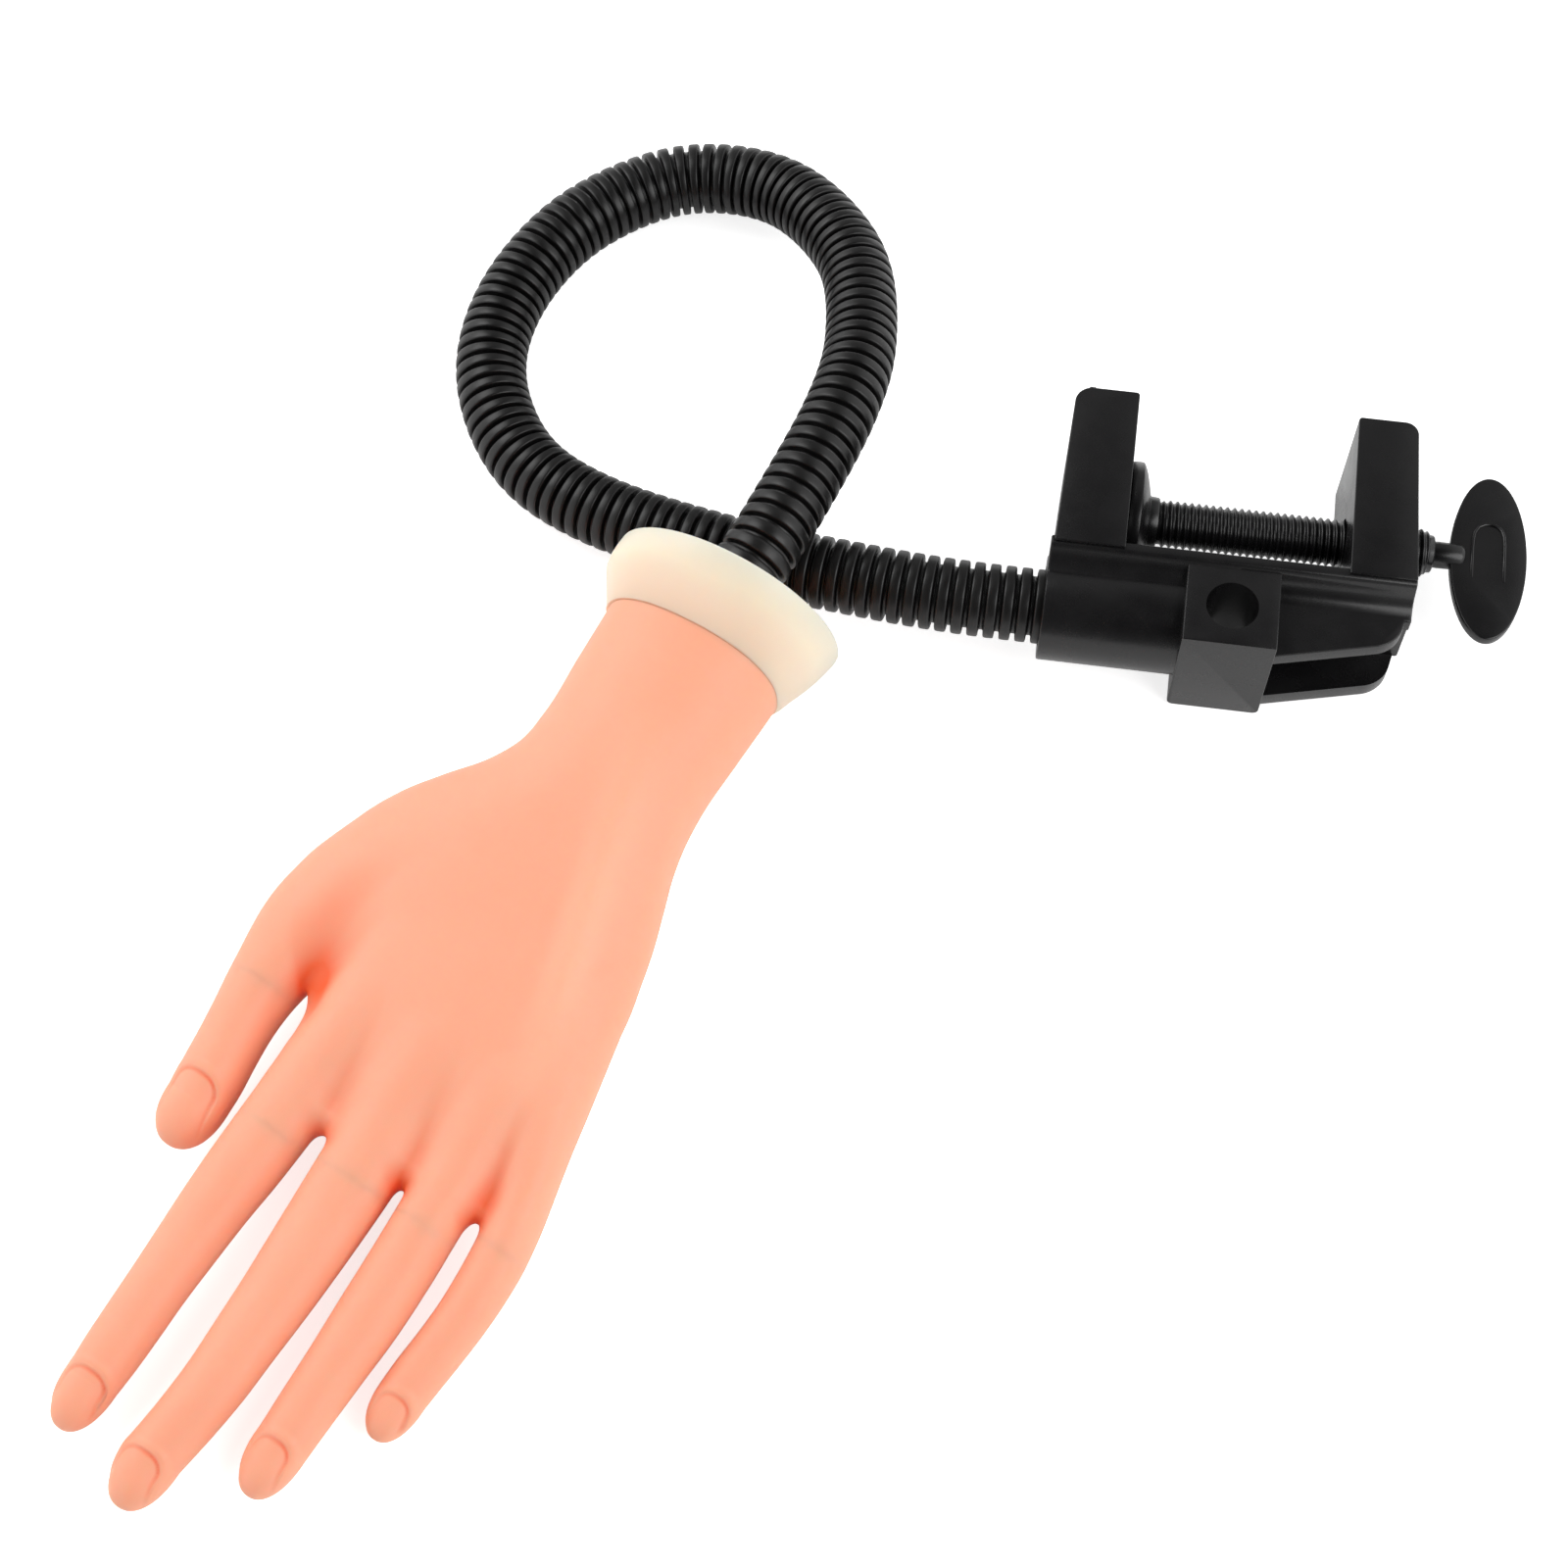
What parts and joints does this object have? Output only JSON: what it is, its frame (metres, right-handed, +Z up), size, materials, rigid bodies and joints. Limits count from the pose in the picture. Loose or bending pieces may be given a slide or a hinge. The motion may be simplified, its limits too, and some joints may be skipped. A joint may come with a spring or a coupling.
{
  "type": "nail practice hand",
  "caption": "Soft practice hand with bendable wired fingers on a ribbed gooseneck arm with a screw table clamp.",
  "frame": {"origin": "middle of the fixed jaw's side face that rests on the bench as the clamp lies on its side", "axes": "+Z is up from the bench; +X runs along the clamp's spine from the fixed jaw to the thumb turn; +Y points to the jaw tips"},
  "size_m": [0.3338, 0.3974, 0.0672],
  "materials": {
    "black_abs": "moulded, slightly glossy black ABS",
    "black_polyethylene": "satin black ribbed sleeve",
    "soft_skin_vinyl": "soft satin skin-coloured vinyl",
    "cream_silicone": "translucent cream silicone",
    "steel_wire": "drawn steel"
  },
  "bodies": {
    "clamp": {"clamp_frame": "black_abs", "gooseneck_sleeve_1": "black_polyethylene", "gooseneck_link_1": "steel_wire"},
    "pad": {"pressure_pad": "black_abs"},
    "screw": {"clamp_screw": "black_abs", "thumb_turn": "black_abs"},
    "arm_2": {"gooseneck_sleeve_2": "black_polyethylene", "gooseneck_link_2": "steel_wire"},
    "arm_3": {"gooseneck_sleeve_3": "black_polyethylene", "gooseneck_link_3": "steel_wire"},
    "arm_4": {"gooseneck_sleeve_4": "black_polyethylene", "gooseneck_link_4": "steel_wire"},
    "arm_5": {"gooseneck_sleeve_5": "black_polyethylene", "gooseneck_link_5": "steel_wire"},
    "arm_6": {"gooseneck_sleeve_6": "black_polyethylene", "gooseneck_link_6": "steel_wire"},
    "hand": {"gooseneck_sleeve_7": "black_polyethylene", "gooseneck_link_7": "steel_wire", "wrist_plug": "black_abs", "cuff": "cream_silicone", "palm": "soft_skin_vinyl", "wire_frame": "steel_wire"},
    "finger_thumb": {"finger_thumb": "soft_skin_vinyl", "finger_wire_thumb": "steel_wire"},
    "finger_index": {"finger_index": "soft_skin_vinyl", "finger_wire_index": "steel_wire"},
    "finger_middle": {"finger_middle": "soft_skin_vinyl", "finger_wire_middle": "steel_wire"},
    "finger_ring": {"finger_ring": "soft_skin_vinyl", "finger_wire_ring": "steel_wire"},
    "finger_little": {"finger_little": "soft_skin_vinyl", "finger_wire_little": "steel_wire"}
  },
  "joints": [
    {"name": "pad_slide", "type": "slide", "parent": "clamp", "child": "pad", "axis": [1, 0, 0], "range_m": [0, 0.045]},
    {"name": "screw_turn", "type": "hinge", "parent": "pad", "child": "screw", "pos_m": [0.0091, -0.005, 0.01875], "axis": [1, 0, 0], "range_deg": [0, 8620]},
    {"name": "bend_1", "type": "hinge", "parent": "clamp", "child": "arm_2", "pos_m": [-0.0613, -0.03134, 0.01727], "axis": [0, 0, 1], "range_deg": [-20, 20]},
    {"name": "bend_2", "type": "hinge", "parent": "arm_2", "child": "arm_3", "pos_m": [-0.13311, -0.01505, 0.01142], "axis": [-0.4001, -0.9165, 0], "range_deg": [0, 15]},
    {"name": "bend_3", "type": "hinge", "parent": "arm_3", "child": "arm_4", "pos_m": [-0.16647, 0.04432, 0.00979], "axis": [0, 0, 1], "range_deg": [-20, 0]},
    {"name": "bend_4", "type": "hinge", "parent": "arm_4", "child": "arm_5", "pos_m": [-0.11988, 0.0966, 0.01041], "axis": [0.1513, -0.9885, 0], "range_deg": [0, 15]},
    {"name": "bend_5", "type": "hinge", "parent": "arm_5", "child": "arm_6", "pos_m": [-0.06888, 0.05518, 0.02546], "axis": [-0.9739, -0.2268, 0], "range_deg": [0, 20]},
    {"name": "bend_6", "type": "hinge", "parent": "arm_6", "child": "hand", "pos_m": [-0.07454, -0.01394, 0.03728], "axis": [0, 0, 1], "range_deg": [-5, 12]},
    {"name": "thumb_bend", "type": "hinge", "parent": "hand", "child": "finger_thumb", "pos_m": [-0.17932, -0.15364, 0.01808], "axis": [0.9078, -0.4195, 0], "range_deg": [-10, 40]},
    {"name": "index_bend", "type": "hinge", "parent": "hand", "child": "finger_index", "pos_m": [-0.17179, -0.18589, 0.01739], "axis": [0.9078, -0.4195, 0], "range_deg": [-10, 60]},
    {"name": "middle_bend", "type": "hinge", "parent": "hand", "child": "finger_middle", "pos_m": [-0.15222, -0.19601, 0.01727], "axis": [0.9078, -0.4195, 0], "range_deg": [-10, 60]},
    {"name": "ring_bend", "type": "hinge", "parent": "hand", "child": "finger_ring", "pos_m": [-0.13166, -0.20333, 0.01752], "axis": [0.9078, -0.4195, 0], "range_deg": [-10, 60]},
    {"name": "little_bend", "type": "hinge", "parent": "hand", "child": "finger_little", "pos_m": [-0.11765, -0.20311, 0.01727], "axis": [0.9078, -0.4195, 0], "range_deg": [-10, 60]}
  ],
  "couplings": [
    {"joint": "screw_turn", "follows": "pad_slide", "rad_per_m": 3342.1}
  ]
}
